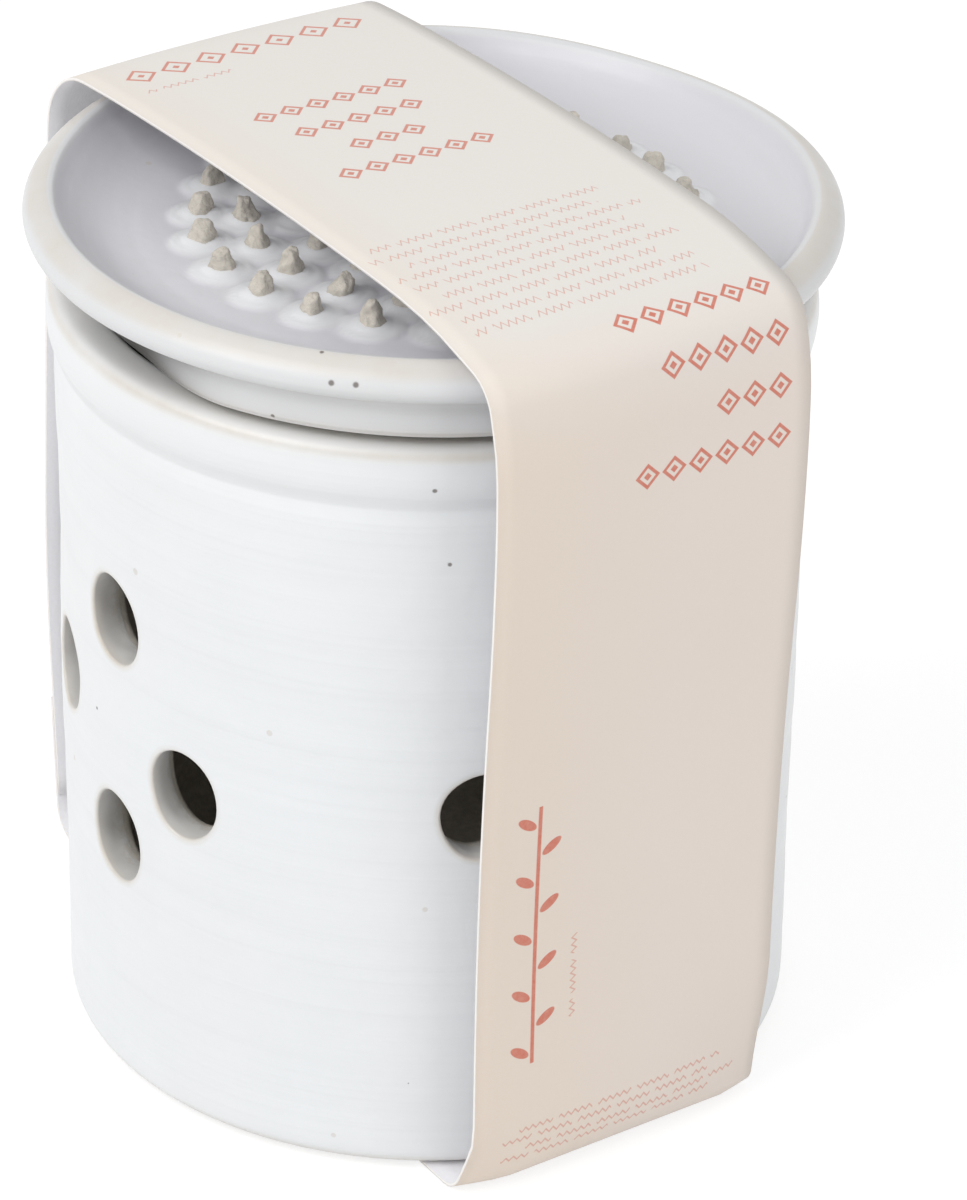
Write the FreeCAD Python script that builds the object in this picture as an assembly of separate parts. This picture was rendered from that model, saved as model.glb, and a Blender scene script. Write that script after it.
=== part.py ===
import FreeCAD, Part
import math
import os

# Garlic keeper: a vented stoneware pot, a dish-shaped lid that carries clay grater nibs, and the
# card sleeve that is wrapped around both for sale.
# Millimetres. +Z is up, and the origin is on the pot's axis, in the plane that the sleeve's bottom rests on.

V = FreeCAD.Vector
UP = V(0, 0, 1)

# --- card sleeve: a strip closed into a loop, prismatic along its own width ---
CARD_T = 0.5                    # card thickness
SLEEVE_W = 55.0                 # width of the strip
SLEEVE_SHIFT = -3.6             # the strip's middle, measured along its width from the pot's axis
SLEEVE_TURN = 33.4              # heading of the strip's width direction, degrees from +X
SLEEVE_FRONT_TOP = 64.4         # distance of the front panel from the axis, near the lid
SLEEVE_FRONT_LOW = 60.8         # the same, near the floor
SLEEVE_BACK_TOP = 63.1          # distance of the back panel from the axis, at the lid's rim
SLEEVE_BACK_BOW = 68.5          # where the bowed back panel stands out furthest
SLEEVE_BACK_LOW = 66.2          # distance of the back panel at its lower end
SLEEVE_TOP_BACK = 146.0         # height of the top panel at its back fold
SLEEVE_TOP_MID = 148.4          # height of the arched top panel's middle
SLEEVE_SLOPE_FROM = (44.0, 147.4)   # distance and height from which the top panel dips to the front
SLEEVE_SLOPE_TO = (62.4, 143.8)     # and where it turns down over the lid's rim
BEND_SLOPE = 120.0              # bend radii of the card's middle layer
BEND_FRONT_TOP = 7.0
BEND_UNDER_RIM = 40.0
BEND_BACK_TOP = 9.5
BEND_FRONT_LOW = 5.5
BEND_BACK_LOW = 5.5
BOW_SLACK = 900.0               # radii of the nearly flat panels
BOW_FIRM = 500.0
BOW_BACK = 300.0
LAP_END_Z = 7.5                 # lower end of the back panel, just clear of the flap's bend
LAP_TOP_Z = 26.0                # upper end of the flap that is glued to the back panel's outside
GLUE_T = 0.15                   # thickness of the adhesive between the two layers
GLUE_W = 46.0
GLUE_Z = (11.0, 23.0)

# --- pot ---
FOOT_Z = CARD_T                 # the foot stands on the sleeve's bottom panel
WALL_R = 58.0
WALL_T = 6.5
FLOOR_T = 7.0
BASE_ROUND = 3.0
FOOT_RING_R = (47.7, 55.0)      # inner and outer radius of the flat foot ring
FOOT_RECESS = 1.2
GROOVE_Z = 116.9
GROOVE_R = 57.7
COLLAR_R = 59.1
COLLAR_Z = 122.3
LIP_Z = 127.5                   # top of the pot's lip, where the lid sits
LIP_FLAT_R = (53.0, 56.6)
INNER_ROUND = 5.5

# --- air vents: diamonds of four oval holes ---
VENT_W = 13.4
VENT_H = 15.0
VENT_MID_Z = 64.1
VENT_CLUSTERS = (-146.1, -65.0, 26.0, 118.0)       # headings of the four diamonds, cut by hand
VENT_DIAMOND = ((0.0, 19.4), (-19.3, 1.2), (16.0, -4.4), (-0.2, -19.4))  # degrees and height of each hole

# --- lid ---
SKIRT_R = (47.0, 50.9)          # locating skirt inside the pot's mouth
SKIRT_Z = 121.5
DISH_FLOOR_Z = 134.6
DISH_UNDER_Z = 128.2
DISH_FLAT_R = 46.0
COVE_MID = (53.0, 136.45)       # radius and height halfway up the dish's cove
COVE_TOP = (57.6, 140.6)
RIM_CREST = (58.8, 141.1)       # the rolled rim slopes out and down from its crest
RIM_OUT = (62.4, 137.8)         # where it stands out furthest
RIM_LOW = (59.9, 134.6)         # and where it turns in over the second tier
TIER_TOP = (57.6, 133.9)
TIER_LOW = (57.4, 128.5)

# --- grater nibs: rings of clay cones on the dish floor ---
NIB_R = 2.5
NIB_SLOPE = 22.5                # how far a nib's flank leans in from upright, degrees
NIB_TIP_R = 1.14                # round at the tip
NIB_RINGS = ((38.0, 24, 13.6), (30.3, 19, 182.2), (22.0, 14, 209.0), (14.0, 9, 10.0), (6.0, 4, 35.0))
NIB_MIDDLE = (2.1, 0.0)         # the rings were pressed in by eye, a little off the lid's middle


def write(node, shape):
    """Check one node's solids and write them to its STEP file."""
    if not shape.isValid():
        raise RuntimeError(node + " is not valid")
    shape.exportStep("parts/" + node + ".step")
    print(node, len(shape.Solids), "solid(s)", round(shape.Volume), "mm3")


def line(a, b):
    return Part.makeLine(V(a[0], 0, a[1]), V(b[0], 0, b[1]))


def arc(a, mid, b):
    """Arc through three points of the XZ plane, each given as radius and height."""
    return Part.Arc(*[V(p[0], 0, p[1]) for p in (a, mid, b)]).toShape()


def quarter(centre, radius, start, end):
    """Round from heading start to heading end, in degrees, about a point of the XZ plane."""
    at = [(centre[0] + radius * math.cos(math.radians(d)), centre[1] + radius * math.sin(math.radians(d)))
          for d in (start, (start + end) / 2, end)]
    return arc(*at)


def turned(edges):
    """Solid of revolution about Z of a closed outline in the XZ plane."""
    outline = Part.Wire(Part.__sortEdges__(edges))
    return Part.Face(outline).revolve(V(0, 0, 0), UP, 360)


def rounded_path(corners):
    """Open wire of straight runs joined by tangent arcs; a corner is (across, up, bend radius)."""
    points = [V(c[0], 0, c[1]) for c in corners]
    edges = []
    here = points[0]
    for before, at, after, corner in zip(points, points[1:], points[2:], corners[1:]):
        back = (before - at).normalize()
        ahead = (after - at).normalize()
        half = back.getAngle(ahead) / 2
        reach = corner[2] / math.tan(half)
        first = at + back * reach
        last = at + ahead * reach
        inward = (back + ahead).normalize()
        middle = at + inward * (corner[2] / math.sin(half) - corner[2])
        edges.append(Part.makeLine(here, first))
        edges.append(Part.Arc(first, middle, last).toShape())
        here = last
    edges.append(Part.makeLine(here, points[-1]))
    return Part.Wire(edges)


def to_sleeve(shape):
    """Turn a shape drawn across X, along Y and up Z into the sleeve's place."""
    shape.translate(V(0, SLEEVE_SHIFT, 0))
    shape.rotate(V(0, 0, 0), UP, SLEEVE_TURN - 90)
    return shape


# --- pot ---
inner_r = WALL_R - WALL_T
floor_z = FOOT_Z + FLOOR_T
pot_outline = [
    line((0, FOOT_Z + FOOT_RECESS), (FOOT_RING_R[0] - FOOT_RECESS, FOOT_Z + FOOT_RECESS)),
    line((FOOT_RING_R[0] - FOOT_RECESS, FOOT_Z + FOOT_RECESS), (FOOT_RING_R[0], FOOT_Z)),
    line((FOOT_RING_R[0], FOOT_Z), (FOOT_RING_R[1], FOOT_Z)),
    quarter((WALL_R - BASE_ROUND, FOOT_Z + BASE_ROUND), BASE_ROUND, -90, 0),
    line((WALL_R, FOOT_Z + BASE_ROUND), (WALL_R, GROOVE_Z - 2)),
    arc((WALL_R, GROOVE_Z - 2), (GROOVE_R, GROOVE_Z), (WALL_R + 0.4, GROOVE_Z + 1.7)),
    arc((WALL_R + 0.4, GROOVE_Z + 1.7), (COLLAR_R, COLLAR_Z), (COLLAR_R - 0.4, LIP_Z - 1.9)),
    arc((COLLAR_R - 0.4, LIP_Z - 1.9), (COLLAR_R - 1.2, LIP_Z - 0.5), (LIP_FLAT_R[1], LIP_Z)),
    line((LIP_FLAT_R[1], LIP_Z), (LIP_FLAT_R[0], LIP_Z)),
    quarter((LIP_FLAT_R[0], LIP_Z - 1.5), 1.5, 90, 180),
    line((inner_r, LIP_Z - 1.5), (inner_r, floor_z + INNER_ROUND)),
    quarter((inner_r - INNER_ROUND, floor_z + INNER_ROUND), INNER_ROUND, 0, -90),
    line((inner_r - INNER_ROUND, floor_z), (0, floor_z)),
    line((0, floor_z), (0, FOOT_Z + FOOT_RECESS)),
]
pot = turned(pot_outline)

for cluster in VENT_CLUSTERS:
    for heading, height in VENT_DIAMOND:
        # an upright oval in the YZ plane, pushed outwards through the wall
        oval = Part.Ellipse(V(0, 0, VENT_H / 2), V(0, VENT_W / 2, 0), V(0, 0, 0)).toShape()
        punch = Part.Face(Part.Wire(oval)).extrude(V(2.5 * WALL_T, 0, 0))
        punch.translate(V(inner_r - WALL_T / 2, 0, VENT_MID_Z + height))
        punch.rotate(V(0, 0, 0), UP, cluster + heading)
        pot = pot.cut(punch)

# --- lid ---
lid_outline = [
    line((0, DISH_FLOOR_Z), (DISH_FLAT_R, DISH_FLOOR_Z)),
    arc((DISH_FLAT_R, DISH_FLOOR_Z), COVE_MID, COVE_TOP),
    arc(COVE_TOP, (58.1, 140.97), RIM_CREST),
    arc(RIM_CREST, (61.0, 139.9), RIM_OUT),
    arc(RIM_OUT, (61.7, 135.8), RIM_LOW),
    line(RIM_LOW, TIER_TOP),
    arc(TIER_TOP, (57.9, 131.4), TIER_LOW),
    quarter((TIER_LOW[0] - 1, TIER_LOW[1]), 1, 0, -90),
    line((TIER_LOW[0] - 1, LIP_Z), (SKIRT_R[1], LIP_Z)),
    line((SKIRT_R[1], LIP_Z), (SKIRT_R[1], SKIRT_Z + 1)),
    quarter((SKIRT_R[1] - 1, SKIRT_Z + 1), 1, 0, -90),
    line((SKIRT_R[1] - 1, SKIRT_Z), (SKIRT_R[0] + 1, SKIRT_Z)),
    quarter((SKIRT_R[0] + 1, SKIRT_Z + 1), 1, -90, -180),
    line((SKIRT_R[0], SKIRT_Z + 1), (SKIRT_R[0], DISH_UNDER_Z - 2)),
    quarter((SKIRT_R[0] - 2, DISH_UNDER_Z - 2), 2, 0, 90),
    line((SKIRT_R[0] - 2, DISH_UNDER_Z), (0, DISH_UNDER_Z)),
    line((0, DISH_UNDER_Z), (0, DISH_FLOOR_Z)),
]
lid = turned(lid_outline)

# --- grater nibs ---
slope = math.radians(NIB_SLOPE)
neck = (NIB_TIP_R * math.cos(slope), (NIB_R - NIB_TIP_R * math.cos(slope)) / math.tan(slope))
tip_mid_z = neck[1] - NIB_TIP_R * math.sin(slope)
nib_outline = [
    line((0, 0), (NIB_R, 0)),
    line((NIB_R, 0), neck),
    quarter((0, tip_mid_z), NIB_TIP_R, NIB_SLOPE, 90),
    line((0, tip_mid_z + NIB_TIP_R), (0, 0)),
]
nib = turned(nib_outline)
nibs = []
for ring_r, count, first in NIB_RINGS:
    for k in range(count):
        heading = math.radians(first + 360 * k / count)
        one = nib.copy()
        one.translate(V(NIB_MIDDLE[0] + ring_r * math.cos(heading),
                        NIB_MIDDLE[1] + ring_r * math.sin(heading), DISH_FLOOR_Z))
        nibs.append(one)

# --- card sleeve ---
# The path follows the middle of the card: up the back, over the lid, down the front, under the foot,
# and up again outside the back panel, where the end of the strip is a flap glued over its beginning.
half_t = CARD_T / 2
lap_start = V(-SLEEVE_BACK_LOW, 0, LAP_END_Z)
bow = V(-SLEEVE_BACK_BOW, 0, 52.0)
run_up = (bow - lap_start).normalize()
inward = V(run_up.z, 0, -run_up.x)
flap_gap = CARD_T + GLUE_T


def on_back(height, step_out):
    """Point at a height on the line that runs a step outside the middle of the back panel's lower part."""
    beside = lap_start - inward * step_out
    return beside + run_up * ((height - beside.z) / run_up.z)


flap_foot = on_back(half_t, flap_gap)
flap_top = on_back(LAP_TOP_Z, flap_gap)
path = rounded_path([
    (lap_start.x, lap_start.z, 0),
    (bow.x, bow.z, BOW_BACK),
    (-SLEEVE_BACK_TOP, SLEEVE_TOP_BACK, BEND_BACK_TOP),
    (-4.0, SLEEVE_TOP_MID, BOW_SLACK),
    SLEEVE_SLOPE_FROM + (BEND_SLOPE,),
    SLEEVE_SLOPE_TO + (BEND_FRONT_TOP,),
    (SLEEVE_FRONT_TOP, 133.0, BEND_UNDER_RIM),
    (SLEEVE_FRONT_TOP, 110.0, BOW_FIRM),
    (SLEEVE_FRONT_LOW, 58.0, BOW_SLACK),
    (SLEEVE_FRONT_LOW, half_t, BEND_FRONT_LOW),
    (flap_foot.x, half_t, BEND_BACK_LOW),
    (flap_top.x, flap_top.z, 0),
])
strip_outline = path.makeOffset2D(half_t, 0, False, True, False)
far_side = path.makeOffset2D(-half_t, 0, False, True, False)
start_a, end_a = strip_outline.OrderedVertexes[0].Point, strip_outline.OrderedVertexes[-1].Point
start_b, end_b = far_side.OrderedVertexes[0].Point, far_side.OrderedVertexes[-1].Point
closing = [Part.makeLine(start_a, start_b), Part.makeLine(end_a, end_b)]
section = Part.Wire(Part.__sortEdges__(strip_outline.Edges + far_side.Edges + closing))
sleeve = Part.Face(section).extrude(V(0, SLEEVE_W, 0))
sleeve.translate(V(0, -SLEEVE_W / 2, 0))
sleeve = to_sleeve(sleeve)

# --- adhesive between the sleeve's two layers ---
glue_corners = [on_back(GLUE_Z[0], half_t), on_back(GLUE_Z[1], half_t),
                on_back(GLUE_Z[1], half_t + GLUE_T), on_back(GLUE_Z[0], half_t + GLUE_T)]
glue = Part.Face(Part.makePolygon(glue_corners + glue_corners[:1])).extrude(V(0, GLUE_W, 0))
glue.translate(V(0, -GLUE_W / 2, 0))
glue = to_sleeve(glue)

os.makedirs("parts", exist_ok=True)
write("pot_body", pot)
write("lid_dish", lid)
write("grater_nibs", Part.makeCompound(nibs))
write("card_sleeve", sleeve)
write("sleeve_glue_strip", glue)
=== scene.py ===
import math

import bpy
import numpy as np
from bpy.props import FloatProperty, FloatVectorProperty, IntProperty, PointerProperty
from mathutils import Matrix, Vector
from mathutils.geometry import delaunay_2d_cdt


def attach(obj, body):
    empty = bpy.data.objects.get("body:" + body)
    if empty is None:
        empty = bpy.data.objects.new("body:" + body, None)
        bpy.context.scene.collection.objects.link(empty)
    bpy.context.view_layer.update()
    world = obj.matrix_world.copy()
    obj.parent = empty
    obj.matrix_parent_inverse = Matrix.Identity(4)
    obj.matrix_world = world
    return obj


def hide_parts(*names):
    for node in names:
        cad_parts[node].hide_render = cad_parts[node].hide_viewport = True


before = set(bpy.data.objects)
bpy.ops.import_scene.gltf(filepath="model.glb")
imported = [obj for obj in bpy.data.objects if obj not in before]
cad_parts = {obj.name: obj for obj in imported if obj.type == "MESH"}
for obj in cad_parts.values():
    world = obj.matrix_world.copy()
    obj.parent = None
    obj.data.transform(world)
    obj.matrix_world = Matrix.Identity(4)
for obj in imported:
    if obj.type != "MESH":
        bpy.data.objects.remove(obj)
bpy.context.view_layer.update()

bl_info = {
    "name": "Garlic keeper",
    "version": (1, 0, 0),
    "blender": (4, 5, 0),
    "location": "View3D > Sidebar > Garlic keeper",
    "description": "A vented stoneware garlic pot with a grater lid and its card sleeve",
    "category": "Object",
}

MM = 0.001
# headings in degrees of the four diamonds of air holes, and each hole's heading and height in a diamond
AIR_HOLE_DIAMONDS = (-146.1, -65.0, 26.0, 118.0)
DIAMOND = ((0.0, 19.4), (-19.3, 1.2), (16.0, -4.4), (-0.2, -19.4))
# one hole was cut a little out of its place: diamond, hole, degrees and mm upwards
STRAY_HOLE = (1, 1, 2.8, -0.7)
# rings of nibs: radius in mm, number of nibs, heading of the first in degrees
NIB_RINGS = ((38.0, 24, 13.6), (30.3, 19, 182.2), (22.0, 14, 209.0), (14.0, 9, 10.0), (6.0, 4, 35.0))
NIB_MIDDLE = (2.1, 0.0)
# radius and height where the pot's lip carries the lid, and height of the lid's underside, in mm
SEAT_RADIUS, SEAT_Z = 56.4, 127.5
LID_UNDER_Z = 128.2
# the largest iron specks in the glaze: place and radius in mm
LID_SPECKS = ((-14.3, -60.5, 139.5, 0.42), (-10.8, -61.2, 139.6, 0.42), (-15.7, -56.6, 142.4, 0.3),
              (-22.9, -52.7, 129.9, 0.3), (26.3, 50.3, 139.3, 0.35))
POT_SPECKS = ((0.6, -58.9, 121.2, 0.35), (2.9, -57.8, 108.4, 0.3))
# the lens: its focal length and the frame's height in pixels, and the sensor's width in mm
FOCAL_PIXELS, FRAME_PIXELS, SENSOR = 5557.0, 1200, 36
CAMERA_PLACE = (0, -0.75806, 0.51086)
# colour of the board where the strip was cut
CUT_EDGE = (0.92, 0.89, 0.865)


# ---- sizes and colours

def length(name, description, default):
    return FloatProperty(name=name, description=description, default=default, unit='LENGTH')


def angle(name, description, default):
    return FloatProperty(name=name, description=description, default=default, subtype='ANGLE')


def paint(name, description, default):
    return FloatVectorProperty(name=name, description=description, default=default, subtype='COLOR',
                               min=0, max=1)


class PotSizes(bpy.types.PropertyGroup):
    """Sizes of the thrown pot"""
    wall_radius: length("Wall radius", "Outside of the pot's wall", 0.058)
    wall: length("Wall", "Thickness of the pot's wall", 0.0065)
    lip_height: length("Lip height", "Top of the lip the lid sits on", 0.1275)
    hole_width: length("Hole width", "Width of an air hole", 0.0132)
    hole_height: length("Hole height", "Height of an air hole", 0.0148)
    hole_middle: length("Hole middle", "Height of a diamond's middle", 0.0641)
    hole_round: length("Hole edge", "Round of an air hole's edge", 0.00045)


class LidSizes(bpy.types.PropertyGroup):
    """Sizes of the dish-shaped lid"""
    rim_radius: length("Rim radius", "Where the rolled rim stands out furthest", 0.0624)
    rim_crest: length("Rim crest", "Height of the rim's crest", 0.1411)
    dish_floor: length("Dish floor", "Height of the dish floor", 0.1346)
    dish_flat: length("Dish flat", "Radius of the flat dish floor", 0.046)
    lean: angle("Lean", "How far the hand-made lid sits out of level", math.radians(0.69))
    lean_heading: angle("Lean heading", "Heading of the side that stands higher", math.radians(-120))
    puddle: length("Glaze puddle", "Radius of the thick glaze round a nib", 0.0053)


class NibSizes(bpy.types.PropertyGroup):
    """Sizes of the clay grater nibs"""
    base_radius: length("Base radius", "Radius of a nib where it meets the dish", 0.0025)
    tip_radius: length("Tip radius", "Radius of a nib's blunt tip", 0.001)
    height: length("Height", "Height of a nib above the dish", 0.0042)
    lean: angle("Lean", "Most that a nib leans from upright", 0.2)
    lumps: length("Lumps", "How far the pinched clay is out of round", 0.0022)
    seed: IntProperty(name="Seed", description="Seed of the hand-made differences", default=7)


class SleeveSizes(bpy.types.PropertyGroup):
    """Sizes of the card sleeve"""
    width: length("Width", "Width of the card strip", 0.055)
    card: length("Card", "Thickness of the card", 0.0005)
    shift: length("Shift", "Middle of the strip from the pot's axis, along its width", -0.0036)
    turn: angle("Turn", "Heading of the strip's width direction", math.radians(33.4))


class KeeperColours(bpy.types.PropertyGroup):
    """Colours of the keeper's finishes"""
    glaze: paint("Glaze", "White glaze of the pot", (0.80, 0.82, 0.835))
    # painted shade: the same white glaze as the pot's, made darker so that the lid, which faces the lamps
    # more, comes out less bright
    rim: paint("Rim glaze", "White glaze of the lid's rim", (0.695, 0.705, 0.715))
    dish: paint("Dish glaze", "Thick glaze pooled in the dish", (0.66, 0.655, 0.685))
    edge: paint("Glaze edge", "Thin glaze over an edge", (0.62, 0.56, 0.48))
    clay: paint("Clay", "Bare fired clay", (0.60, 0.56, 0.495))
    card: paint("Card", "Printed outside of the sleeve", (0.79, 0.71, 0.645))
    # painted light: the card over the lid is the same card, made paler and cooler as if lit from above
    card_top_painted_light: paint("Card top", "Paler card over the lid", (0.80, 0.775, 0.735))
    # the inside is white board; its faint lilac cast is painted shade
    card_inside_with_shade: paint("Card inside", "Plain inside of the sleeve", (0.86, 0.85, 0.875))
    ink: paint("Ink", "Ink of the sleeve's ornament", (0.62, 0.17, 0.11))


# ---- meshes

def placed(name, data):
    """New object in the scene."""
    thing = bpy.data.objects.new(name, data)
    bpy.context.scene.collection.objects.link(thing)
    return thing


def piece_mesh(name, points, faces, **values):
    """New object from points in metres, with one float attribute for each keyword."""
    mesh = bpy.data.meshes.new(name)
    mesh.from_pydata([tuple(p) for p in points], [], [tuple(int(i) for i in f) for f in faces])
    mesh.validate()
    mesh.shade_smooth()
    for key, data in values.items():
        layer = mesh.attributes.new(key, 'FLOAT', 'POINT')
        layer.data.foreach_set("value", np.asarray(data, dtype=np.float32))
    return placed(name, mesh)


def round_of(centre, radius, start, end, steps):
    """Points of a round, from heading start to heading end in degrees."""
    turns = np.radians(np.linspace(start, end, steps + 1))
    return [(centre[0] + radius * math.cos(t), centre[1] + radius * math.sin(t)) for t in turns]


def run(a, b, step):
    """Points from a up to but not including b, about a step apart."""
    count = max(1, round(math.dist(a, b) / step))
    return [(a[0] + (b[0] - a[0]) * k / count, a[1] + (b[1] - a[1]) * k / count) for k in range(count)]


def soft_curve(points, steps):
    """Smooth curve through points."""
    pts = np.array([points[0]] + list(points) + [points[-1]], float)
    out = []
    for a, b, c, d in zip(pts, pts[1:], pts[2:], pts[3:]):
        for t in np.linspace(0, 1, steps, endpoint=False):
            out.append(tuple(0.5 * (2 * b + (c - a) * t + (2 * a - 5 * b + 4 * c - d) * t * t
                                    + (3 * b - a - 3 * c + d) * t ** 3)))
    return out + [tuple(pts[-1])]


def smooth(low, high, x):
    """0 below low, 1 above high and an S between them."""
    t = np.clip((np.asarray(x, float) - low) / (high - low), 0, 1)
    return t * t * (3 - 2 * t)


def ripple(heading, height, seed, waves):
    """Soft hand-made unevenness, about -1 to 1, that closes on itself round the pot."""
    rng = np.random.default_rng(seed)
    total = 0
    for _ in range(waves):
        round_count = rng.integers(0, 5)
        total = total + np.sin(round_count * heading + height * rng.uniform(0.02, 0.16)
                               + rng.uniform(0, 6.3))
    return total / waves ** 0.5


def spun(outline, sides):
    """Points of an outline of radius and height, turned round the axis ring by ring."""
    r, z = np.repeat(outline[:, 0], sides), np.repeat(outline[:, 1], sides)
    t = np.tile(np.arange(sides) * 2 * math.pi / sides, len(outline))
    return np.stack([r * np.cos(t), r * np.sin(t), z], -1)


def spin_faces(first, second, sides, skip=()):
    """Quads between two rings of points, given by the index of their first points."""
    for k in range(sides):
        if k not in skip:
            n = (k + 1) % sides
            yield (first + k, first + n, second + n, second + k)


# ---- materials

def add_node(tree, kind, inputs=(), **settings):
    """New node with its settings. Each input, by name or number, is a plain value or what feeds it."""
    node = tree.nodes.new(kind)
    for key, value in settings.items():
        setattr(node, key, value)
    for key, value in dict(inputs).items():
        feed(tree, node.inputs[key], value)
    return node


def feed(tree, slot, value):
    """Links a value or a socket to an input, or sets the input to a plain number or colour."""
    if isinstance(value, Sum):
        value = value.socket
    if isinstance(value, bpy.types.NodeSocket):
        tree.links.new(value, slot)
    else:
        slot.default_value = value


class Sum:
    """A shader value that ordinary arithmetic turns into Math nodes."""

    def __init__(self, tree, socket):
        self.tree = tree
        self.socket = socket

    def of(self, operation, *others, clamp=False):
        node = add_node(self.tree, 'ShaderNodeMath', enumerate((self,) + others),
                        operation=operation, use_clamp=clamp)
        return Sum(self.tree, node.outputs[0])

    def __add__(self, other):
        return self.of('ADD', other)

    def __sub__(self, other):
        return self.of('SUBTRACT', other)

    def __mul__(self, other):
        return self.of('MULTIPLY', other)

    def __abs__(self):
        return self.of('ABSOLUTE')

    def clamped(self):
        return self.of('ADD', 0.0, clamp=True)

    def step(self, low, high):
        """0 below low, 1 above high, straight between them."""
        return (self - low).of('DIVIDE', high - low, clamp=True)

    def wrap(self, pitch):
        """Distance from the middle of the repeat this value falls in."""
        return self.of('FLOORED_MODULO', pitch) - pitch / 2

    def within(self, low, high):
        return self.of('GREATER_THAN', low) * self.of('LESS_THAN', high)


class Finish:
    """A new material with one Principled shader, and short words for the nodes that feed it."""

    def __init__(self, name, roughness, specular=0.5):
        self.material = bpy.data.materials.new(name)
        self.material.use_nodes = True
        self.tree = self.material.node_tree
        self.shader = self.tree.nodes["Principled BSDF"]
        self.shader.inputs["Roughness"].default_value = roughness
        self.shader.inputs["Specular IOR Level"].default_value = specular
        self.place = self.tree.nodes.new('ShaderNodeTexCoord').outputs["Object"]

    def add(self, kind, inputs=(), **settings):
        return add_node(self.tree, kind, inputs, **settings)

    def stretched(self, x, y, z):
        """Object coordinates with their scale changed along each axis."""
        return self.add('ShaderNodeMapping', {"Scale": (x, y, z), "Vector": self.place}).outputs[0]

    def cloud(self, per_metre, detail=3.0, rough=0.5, at=None, warp=0.0):
        node = self.add('ShaderNodeTexNoise', {"Scale": per_metre, "Detail": detail, "Roughness": rough,
                                               "Distortion": warp, "Vector": at or self.place})
        return Sum(self.tree, node.outputs["Fac"])

    def spots(self, per_metre, smallest, largest):
        """Scattered round spots of different sizes, 1 inside and 0 outside."""
        node = self.add('ShaderNodeTexVoronoi', {"Scale": per_metre, "Vector": self.place})
        parts = self.add('ShaderNodeSeparateColor', {0: node.outputs["Color"]})
        size = Sum(self.tree, parts.outputs[0]) * (largest - smallest) + smallest
        edge = size * per_metre - Sum(self.tree, node.outputs["Distance"])
        return edge.step(0.0, 0.00012 * per_metre)

    def speck(self, x, y, z, radius):
        """One soft-edged round spot at a place in millimetres."""
        node = self.add('ShaderNodeVectorMath', {0: self.place, 1: (x * MM, y * MM, z * MM)},
                        operation='DISTANCE')
        return Sum(self.tree, node.outputs["Value"]).step(radius * MM * 1.3, radius * MM * 0.7)

    def value(self, name):
        return Sum(self.tree, self.add('ShaderNodeAttribute', attribute_name=name).outputs["Fac"])

    def mix(self, share, first, second, mode='MIX'):
        """Colour between first and second, each a colour or a socket."""
        node = self.add('ShaderNodeMix', data_type='RGBA', blend_type=mode)
        slots = [s for s in node.inputs if s.enabled]
        feed(self.tree, slots[0], share)
        for slot, value in zip(slots[1:], (first, second)):
            is_socket = isinstance(value, bpy.types.NodeSocket)
            feed(self.tree, slot, value if is_socket else tuple(value)[:3] + (1.0,))
        return [s for s in node.outputs if s.enabled][0]

    def colour(self, socket):
        self.tree.links.new(socket, self.shader.inputs["Base Color"])

    def rough(self, amount):
        self.tree.links.new(amount.socket, self.shader.inputs["Roughness"])

    def relief(self, height, depth):
        """Bump whose height of 1 is depth metres."""
        node = self.add('ShaderNodeBump', {"Distance": depth, "Height": height})
        self.tree.links.new(node.outputs[0], self.shader.inputs["Normal"])


def tint(colour, amount):
    return tuple(min(1.0, c * amount) for c in colour)


def stoneware(name, glaze, edge, clay, pooled=None, specks=()):
    """White glaze over speckled clay: thin on edges, broken by specks, bare where the clay value is 1."""
    f = Finish(name, 0.3)
    broad = f.cloud(16.0, 2.0)
    patch = f.cloud(85.0, 3.0, 0.6)
    grain = f.cloud(900.0, 3.0, 0.6)
    warmer = (glaze[0] * 1.01, glaze[1] * 0.995, glaze[2] * 0.985)
    white = f.mix(broad.step(0.35, 0.65), tint(glaze, 1.0), warmer)
    white = f.mix(patch.step(0.3, 0.75) * 0.35, white, tint(glaze, 0.95))
    if pooled is not None:
        white = f.mix(f.value("pool"), white, pooled)
        white = f.mix(f.value("halo") * 0.85, white, tint(glaze, 1.12))
    # thrown lines show as faint bands, a little darker where the glaze ran thin
    bands = f.cloud(1.0, 2.0, 0.7, at=f.stretched(6.0, 6.0, 420.0))
    white = f.mix(bands.step(0.5, 0.85) * 0.16, white, tint(glaze, 0.82))
    worn = f.value("worn")
    thin = (worn * (patch * 1.5 + 0.15) + (grain - 0.5) * 0.25 * worn).clamped()
    white = f.mix(thin, white, edge)
    # fawn and dark iron specks, most of them small
    fawn = f.spots(95.0, 0.00002, 0.00075) * 0.45
    dark = f.spots(120.0, -0.0004, 0.00042) * 0.85
    white = f.mix(fawn, white, tint(edge, 0.95))
    for x, y, z, radius in specks:
        dark = dark.of('MAXIMUM', f.speck(x, y, z, radius) * 0.8)
    white = f.mix(dark, white, (0.10, 0.075, 0.06))
    bare = (f.value("clay") + (patch - 0.5) * 0.9 + (grain - 0.5) * 0.5).step(0.42, 0.62)
    earth = f.mix(grain.step(0.3, 0.7), tint(clay, 0.86), tint(clay, 1.08))
    body = f.mix(bare, white, earth)
    if pooled is not None:
        # painted shade: near-black where the gap under the rim lies in shadow
        body = f.mix(f.value("gap"), body, (0.03, 0.027, 0.024))
    f.colour(body)
    f.rough(bare * 0.5 + patch * 0.16 + 0.26)
    height = patch * 0.55 + bands * 0.35 + grain * (bare * 0.35 + 0.03) - dark * 0.35 - bare * 0.3
    f.relief(height, 0.00035)
    return f.material


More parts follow.
